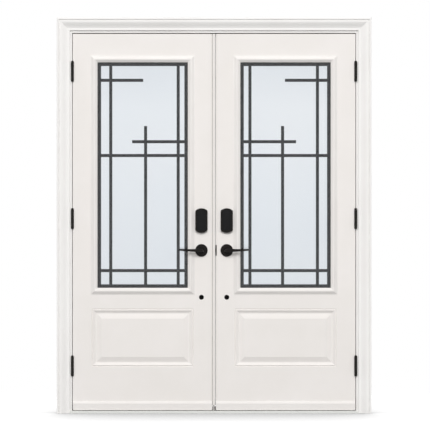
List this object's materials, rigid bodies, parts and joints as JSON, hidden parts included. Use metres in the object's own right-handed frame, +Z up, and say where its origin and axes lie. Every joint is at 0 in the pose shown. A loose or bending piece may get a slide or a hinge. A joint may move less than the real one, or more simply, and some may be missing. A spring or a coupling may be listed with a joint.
{
  "type": "steel entry door pair with frame",
  "caption": "Pair of white steel entry door leaves with glazed lites, dark grilles, black levers and keypad locks, hung in a cased frame with a sill.",
  "frame": {"origin": "underside of the sill, midway between the jambs, level with the leaf fronts", "axes": "+X to the right seen from the front, +Y away from the front, +Z up"},
  "size_m": [1.701, 0.1695, 2.142],
  "materials": {
    "leaf_paint": "satin white paint on sheet steel",
    "frame_paint": "satin white paint",
    "stile_wood": "bare softwood",
    "foam": "rigid foam",
    "lite_plastic": "satin white moulding",
    "pane_glass": "satin glass",
    "spacer_metal": "mill",
    "grille_metal": "dark powder coat",
    "hardware_black": "black satin coat",
    "hinge_steel": "dark bronze coat",
    "plug_plastic": "black",
    "weatherstrip": "soft foam seal",
    "seal_rubber": "grey rubber",
    "sill_metal": "mill",
    "bolt_steel": "brushed"
  },
  "bodies": {
    "frame": {"left_jamb": "frame_paint", "right_jamb": "frame_paint", "head_jamb": "frame_paint", "left_casing": "frame_paint", "right_casing": "frame_paint", "head_casing": "frame_paint", "sill": "sill_metal", "sill_seal": "seal_rubber", "left_weatherstrip": "weatherstrip", "right_weatherstrip": "weatherstrip", "head_weatherstrip": "weatherstrip", "jamb_hinge_leaves": "hinge_steel", "hinge_pins": "hinge_steel"},
    "left_leaf": {"left_front_skin": "leaf_paint", "left_back_skin": "leaf_paint", "left_core": "foam", "left_hinge_stile": "stile_wood", "left_lock_stile": "stile_wood", "left_rails": "stile_wood", "left_front_lite_frame": "lite_plastic", "left_back_lite_frame": "lite_plastic", "left_panes": "pane_glass", "left_spacer": "spacer_metal", "left_grille": "grille_metal", "left_drip_strip": "leaf_paint", "left_hinge_leaves": "hinge_steel", "left_front_lock_cover": "hardware_black", "left_back_lock_cover": "hardware_black", "left_rosettes": "hardware_black", "left_bore_plug": "plug_plastic", "astragal": "leaf_paint", "astragal_boot": "seal_rubber", "edge_faceplates": "hardware_black"},
    "right_leaf": {"right_front_skin": "leaf_paint", "right_back_skin": "leaf_paint", "right_core": "foam", "right_hinge_stile": "stile_wood", "right_lock_stile": "stile_wood", "right_rails": "stile_wood", "right_front_lite_frame": "lite_plastic", "right_back_lite_frame": "lite_plastic", "right_panes": "pane_glass", "right_spacer": "spacer_metal", "right_grille": "grille_metal", "right_drip_strip": "leaf_paint", "right_hinge_leaves": "hinge_steel", "right_front_lock_cover": "hardware_black", "right_back_lock_cover": "hardware_black", "right_rosettes": "hardware_black", "right_bore_plug": "plug_plastic", "strike_plates": "hardware_black"},
    "left_lever": {"left_front_lever": "hardware_black", "left_back_lever": "hardware_black"},
    "right_lever": {"right_front_lever": "hardware_black", "right_back_lever": "hardware_black"},
    "latch": {"latch_bolt": "bolt_steel"},
    "thumb_turn": {"thumb_turn": "hardware_black"},
    "deadbolt": {"deadbolt": "bolt_steel"},
    "top_bolt": {"top_bolt": "bolt_steel"},
    "bottom_bolt": {"bottom_bolt": "bolt_steel"}
  },
  "joints": [
    {"name": "left_leaf_swing", "type": "hinge", "parent": "frame", "child": "left_leaf", "pos_m": [-0.767, -0.0085, 1.0545], "axis": [0, 0, -1], "range_deg": [0, 110]},
    {"name": "right_leaf_swing", "type": "hinge", "parent": "frame", "child": "right_leaf", "pos_m": [0.767, -0.0085, 1.0545], "axis": [0, 0, 1], "range_deg": [0, 110]},
    {"name": "left_lever_turn", "type": "hinge", "parent": "left_leaf", "child": "left_lever", "pos_m": [-0.0685, 0, 0.882], "axis": [0, -1, 0], "range_deg": [0, 45], "stiffness_Nm_per_rad": 1.5, "springref_deg": -22.92},
    {"name": "latch_slide", "type": "slide", "parent": "left_leaf", "child": "latch", "axis": [-1, 0, 0], "range_m": [0, 0.0128]},
    {"name": "thumb_turn_turn", "type": "hinge", "parent": "left_leaf", "child": "thumb_turn", "pos_m": [-0.0685, 0, 1.044], "axis": [0, 1, 0], "range_deg": [0, 90]},
    {"name": "deadbolt_slide", "type": "slide", "parent": "left_leaf", "child": "deadbolt", "axis": [1, 0, 0], "range_m": [0, 0.0251]},
    {"name": "right_lever_lift", "type": "hinge", "parent": "right_leaf", "child": "right_lever", "pos_m": [0.0685, 0, 0.882], "axis": [0, -1, 0], "range_deg": [0, 45], "stiffness_Nm_per_rad": 1.5, "springref_deg": -11.46},
    {"name": "top_bolt_slide", "type": "slide", "parent": "right_leaf", "child": "top_bolt", "axis": [0, 0, 1], "range_m": [0, 0.0161]},
    {"name": "bottom_bolt_slide", "type": "slide", "parent": "right_leaf", "child": "bottom_bolt", "axis": [0, 0, -1], "range_m": [0, 0.0161]}
  ],
  "couplings": [
    {"joint": "latch_slide", "follows": "left_lever_turn", "m_per_rad": 0.01617},
    {"joint": "deadbolt_slide", "follows": "thumb_turn_turn", "m_per_rad": 0.015915},
    {"joint": "top_bolt_slide", "follows": "right_lever_lift", "m_per_rad": 0.020372},
    {"joint": "bottom_bolt_slide", "follows": "right_lever_lift", "m_per_rad": 0.020372}
  ]
}
